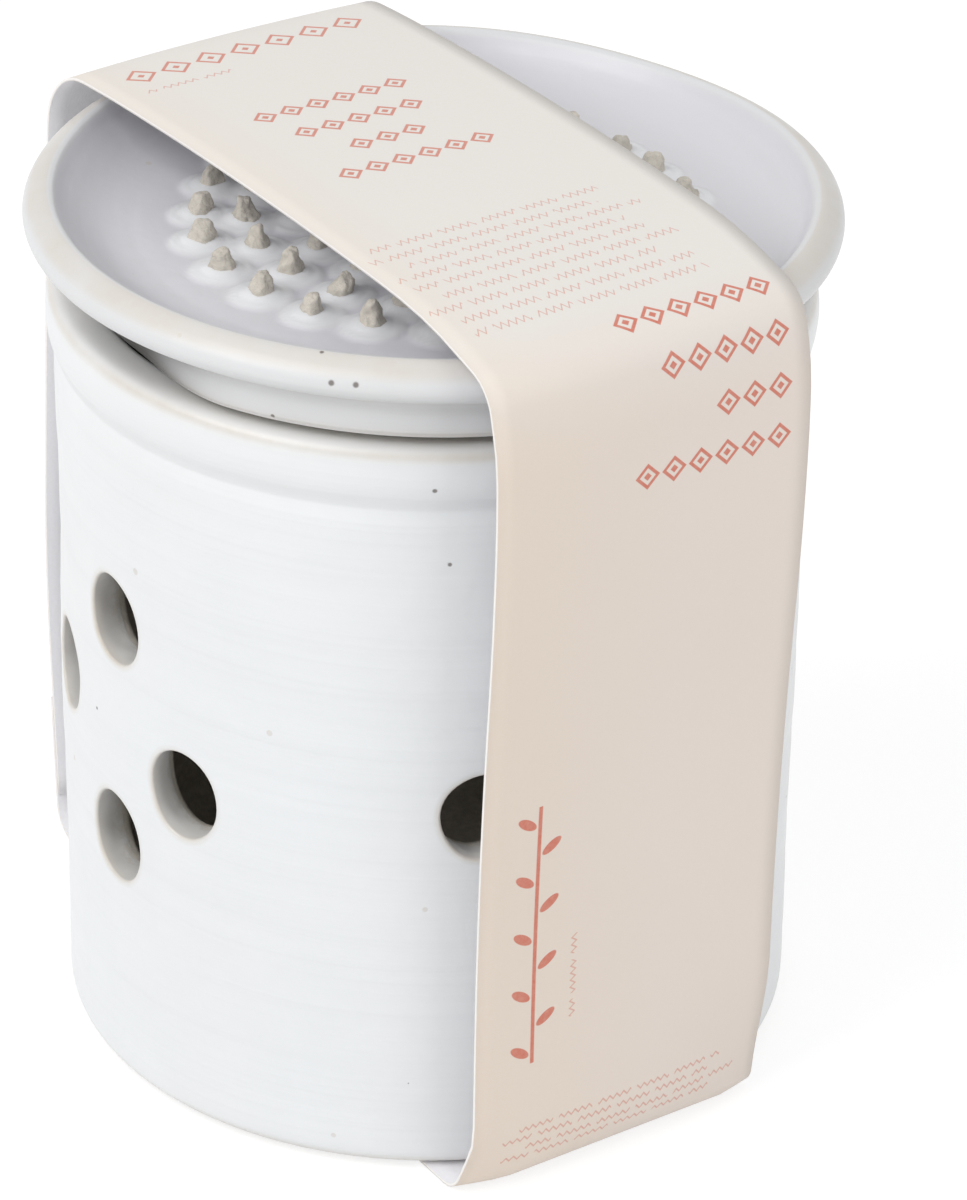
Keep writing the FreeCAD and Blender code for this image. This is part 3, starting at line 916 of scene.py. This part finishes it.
def wrapped_card(size):
    """Points, faces, face kinds and print coordinates of the sleeve, in millimetres."""
    path, along, back_fold = card_path(size.card / MM + 0.15)
    width, card = size.width / MM, size.card / MM
    across = np.linspace(0, width, 19)
    w = across / (width / 2) - 1
    tangent = np.gradient(path, axis=0)
    tangent /= np.linalg.norm(tangent, axis=1)[:, None]
    inward = np.stack([tangent[:, 1], -tangent[:, 0]], -1)
    height = path[:, 1]
    # the card hugs rim and pot: its edges sag in past them, more on the left over the rim and at the foot
    over_rim = np.exp(-(along / 11) ** 2)
    over_back = 0.6 * np.exp(-((along - back_fold) / 12) ** 2)
    left, right = 1.0 * over_rim + over_back, 0.8 * over_rim + over_back
    free = (height > 0.6) | (np.abs(path[:, 0]) > 56)
    pull = np.where(w[None, :] < 0, left[:, None], right[:, None]) * (w[None, :] ** 2) * free[:, None]
    flat = (height < 0.6)[:, None]
    # the foot of the front panel is drawn in under the pot, most at its two edges
    low_left, low_middle, low_right = (smooth(top, 0, height)[:, None] for top in (14, 9, 28))
    drawn = np.where(w[None, :] < 0, 4.6 * w[None, :] ** 2 * low_left, 3.6 * w[None, :] ** 2 * low_right)
    drawn = np.maximum(drawn, 2.35 * low_middle) * smooth(0, 50, path[:, 0])[:, None]
    u = path[:, 0][:, None] + inward[:, 0][:, None] * pull - drawn
    z = path[:, 1][:, None] + inward[:, 1][:, None] * pull * ~flat
    z = np.maximum(z, card / 2)
    c, s = math.cos(size.turn), math.sin(size.turn)
    v = size.shift / MM - width / 2 + across
    grid = np.stack([c * v[None, :] + s * u, s * v[None, :] - c * u, z], -1)
    along_grid = np.gradient(grid, axis=0)
    across_grid = np.gradient(grid, axis=1)
    normal = np.cross(across_grid, along_grid)
    normal /= np.linalg.norm(normal, axis=2)[..., None]
    outer = grid - normal * card / 2
    inner = grid + normal * card / 2
    if np.abs(outer[:, :, 2]).max() < np.abs(inner[:, :, 2]).max():
        outer, inner = inner, outer
    n, m = len(path), len(across)
    points = np.concatenate([outer.reshape(-1, 3), inner.reshape(-1, 3)])
    a = np.tile(across, n)
    b = np.repeat(along, m)
    faces, kinds = [], []
    at = lambda i, j, side: side * n * m + i * m + j
    for i in range(n - 1):
        for j in range(m - 1):
            quad = (at(i + 1, j, 0), at(i + 1, j + 1, 0), at(i, j + 1, 0), at(i, j, 0))
            faces += [quad, tuple(q + n * m for q in reversed(quad))]
            kinds += [0, 1]
        faces += [(at(i, 0, 0), at(i, 0, 1), at(i + 1, 0, 1), at(i + 1, 0, 0)),
                  (at(i + 1, m - 1, 0), at(i + 1, m - 1, 1), at(i, m - 1, 1), at(i, m - 1, 0))]
        kinds += [2, 2]
    for j in range(m - 1):
        faces += [(at(0, j + 1, 0), at(0, j + 1, 1), at(0, j, 1), at(0, j, 0)),
                  (at(n - 1, j, 0), at(n - 1, j, 1), at(n - 1, j + 1, 1), at(n - 1, j + 1, 0))]
        kinds += [2, 2]
    return points, faces, kinds, np.tile(a, 2), np.tile(b, 2)


# ---- operators

class KEEPER_OT_throw_pot(bpy.types.Operator):
    """Make the pot with its air holes"""
    bl_idname = "keeper.throw_pot"
    bl_label = "Throw the pot"

    def execute(self, context):
        scene = context.scene
        points, faces, clay, worn = thrown_pot(scene.keeper_pot)
        pot = piece_mesh("pot_wall_and_foot", points * MM, faces, clay=clay, worn=worn)
        colours = scene.keeper_colours
        pot.data.materials.append(stoneware("White glaze, pot", colours.glaze, colours.edge, colours.clay,
                                            specks=POT_SPECKS))
        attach(pot, "pot")
        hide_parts("pot_body")
        return {'FINISHED'}


class KEEPER_OT_throw_lid(bpy.types.Operator):
    """Make the dish-shaped lid"""
    bl_idname = "keeper.throw_lid"
    bl_label = "Throw the lid"

    def execute(self, context):
        scene = context.scene
        # the last value is painted shade for the gap under the rim
        points, faces, clay, worn, pool, halo, gap = thrown_lid(scene.keeper_lid, scene.keeper_nibs.seed)
        lid = piece_mesh("lid_dish_and_rim", points * MM, faces, clay=clay, worn=worn, pool=pool, halo=halo,
                         gap=gap)
        lid.data.transform(lid_lean(scene.keeper_lid))
        colours = scene.keeper_colours
        # the lid's glaze is the pot's white glaze with painted shade darkening it
        lid.data.materials.append(stoneware("White glaze, lid", colours.rim, colours.edge, colours.clay,
                                            pooled=colours.dish, specks=LID_SPECKS))
        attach(lid, "lid")
        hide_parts("lid_dish")
        return {'FINISHED'}


class KEEPER_OT_press_nibs(bpy.types.Operator):
    """Set the clay grater nibs on the dish"""
    bl_idname = "keeper.press_nibs"
    bl_label = "Press the nibs"

    def execute(self, context):
        scene = context.scene
        size = scene.keeper_nibs
        material = bare_clay("Bare clay", scene.keeper_colours.clay, scene.keeper_lid.dish_floor)
        floor = scene.keeper_lid.dish_floor - 0.0001
        places = [(x * MM, y * MM, floor) for x, y in nib_places(size.seed)]
        nibs = grown("clay_nibs", places, nib_tree(material), **{
            "Base radius": size.base_radius, "Tip radius": size.tip_radius, "Height": size.height,
            "Lean": size.lean, "Lumps": size.lumps, "Seed": size.seed})
        nibs.data.transform(lid_lean(scene.keeper_lid))
        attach(nibs, "lid")
        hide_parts("grater_nibs")
        return {'FINISHED'}


class KEEPER_OT_wrap_sleeve(bpy.types.Operator):
    """Wrap the card sleeve round pot and lid"""
    bl_idname = "keeper.wrap_sleeve"
    bl_label = "Wrap the sleeve"

    def execute(self, context):
        scene = context.scene
        points, faces, kinds, across, along = wrapped_card(scene.keeper_sleeve)
        sleeve = piece_mesh("sleeve_card", points * MM, faces, across=across, along=along)
        colours = scene.keeper_colours
        for material in (printed_card("Printed card", colours.card, colours.card_top_painted_light, colours.ink),
                         # the inside's lilac cast is painted shade on white board
                         plain_card("Card inside", colours.card_inside_with_shade),
                         plain_card("Card cut edge", CUT_EDGE)):
            sleeve.data.materials.append(material)
        sleeve.data.polygons.foreach_set("material_index", kinds)
        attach(sleeve, "sleeve")
        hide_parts("card_sleeve")
        return {'FINISHED'}


class KEEPER_OT_dress_adhesive(bpy.types.Operator):
    """Give the adhesive under the sleeve's lap its finish"""
    bl_idname = "keeper.dress_adhesive"
    bl_label = "Dress the adhesive"

    def execute(self, context):
        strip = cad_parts["sleeve_glue_strip"]
        material = set_adhesive("Set adhesive")
        if not strip.material_slots:
            raise RuntimeError("the adhesive strip has no material slot")
        for slot in strip.material_slots:
            slot.material = material
        return {'FINISHED'}


class KEEPER_OT_lay_stage(bpy.types.Operator):
    """Lay the white floor and set the lamps and the camera"""
    bl_idname = "keeper.lay_stage"
    bl_label = "Lay the stage"

    def execute(self, context):
        scene = context.scene
        scene.view_settings.view_transform = 'Standard'
        white = studio_white("Studio white")
        mesh = bpy.data.meshes.new("studio_floor")
        mesh.from_pydata([(x, y, -0.0003) for x, y in ((-6, -6), (6, -6), (6, 6), (-6, 6))], [],
                         [(0, 1, 2, 3)])
        mesh.materials.append(white)
        floor = placed("studio_floor", mesh)

        world = bpy.data.worlds.new("Soft white room")
        world.use_nodes = True
        tree = world.node_tree
        room = tree.nodes["Background"]
        room.inputs["Color"].default_value = (1, 1, 1, 1)
        feed(tree, room.inputs["Strength"], directly_seen(tree) * 0.40 + 0.60)
        scene.world = world

        lamps = (("Window lamp", (-1.0, -0.66, 1.35), (0, 0, 0.08), 1.2, 16.0),
                 ("Fill lamp", (1.2, -1.3, 0.7), (0, 0, 0.06), 1.0, 6.3))
        for name, place, aim, size, watts in lamps:
            lamp = bpy.data.lights.new(name, 'AREA')
            lamp.shape = 'SQUARE'
            lamp.size = size
            lamp.energy = watts
            turn = (Vector(aim) - Vector(place)).to_track_quat('-Z', 'Y')
            placed(name, lamp).matrix_world = Matrix.Translation(place) @ turn.to_matrix().to_4x4()

        # the camera looks a little down on the front of the pot
        heading, tip, roll = 0.0112, 0.5279, 0.0157
        ahead = Vector((math.sin(heading) * math.cos(tip), math.cos(heading) * math.cos(tip), -math.sin(tip)))
        right = Vector((math.cos(heading), -math.sin(heading), 0))
        up = right.cross(ahead)
        right, up = (math.cos(roll) * right + math.sin(roll) * up,
                     math.cos(roll) * up - math.sin(roll) * right)
        lens = bpy.data.cameras.new("Camera")
        lens.sensor_fit = 'AUTO'
        lens.sensor_width = SENSOR
        lens.lens = FOCAL_PIXELS * SENSOR / FRAME_PIXELS
        lens.clip_start = 0.05
        camera = placed("Camera", lens)
        turn = Matrix((right, up, -ahead)).transposed().to_4x4()
        camera.matrix_world = Matrix.Translation(CAMERA_PLACE) @ turn
        scene.camera = camera
        return {'FINISHED'}


class KEEPER_PT_sidebar(bpy.types.Panel):
    """Sizes, colours and steps of the garlic keeper"""
    bl_idname = "KEEPER_PT_sidebar"
    bl_label = "Garlic keeper"
    bl_space_type = 'VIEW_3D'
    bl_region_type = 'UI'
    bl_category = "Garlic keeper"

    def draw(self, context):
        for name in GROUPS:
            box = self.layout.box()
            group = getattr(context.scene, name)
            for key in group.bl_rna.properties.keys():
                if key not in ("rna_type", "name"):
                    box.prop(group, key)
        for step in STEPS:
            self.layout.operator(step.bl_idname)


GROUPS = {"keeper_pot": PotSizes, "keeper_lid": LidSizes, "keeper_nibs": NibSizes,
          "keeper_sleeve": SleeveSizes, "keeper_colours": KeeperColours}
STEPS = (KEEPER_OT_throw_pot, KEEPER_OT_throw_lid, KEEPER_OT_press_nibs, KEEPER_OT_wrap_sleeve,
         KEEPER_OT_dress_adhesive, KEEPER_OT_lay_stage)


def register():
    for cls in tuple(GROUPS.values()) + STEPS + (KEEPER_PT_sidebar,):
        bpy.utils.register_class(cls)
    for name, group in GROUPS.items():
        setattr(bpy.types.Scene, name, PointerProperty(type=group))


def unregister():
    for name in GROUPS:
        delattr(bpy.types.Scene, name)
    for cls in (KEEPER_PT_sidebar,) + STEPS[::-1] + tuple(GROUPS.values())[::-1]:
        bpy.utils.unregister_class(cls)


def main():
    register()
    bpy.ops.keeper.throw_pot()
    bpy.ops.keeper.throw_lid()
    bpy.ops.keeper.press_nibs()
    bpy.ops.keeper.wrap_sleeve()
    bpy.ops.keeper.dress_adhesive()
    bpy.ops.keeper.lay_stage()


if __name__ == "__main__":
    main()
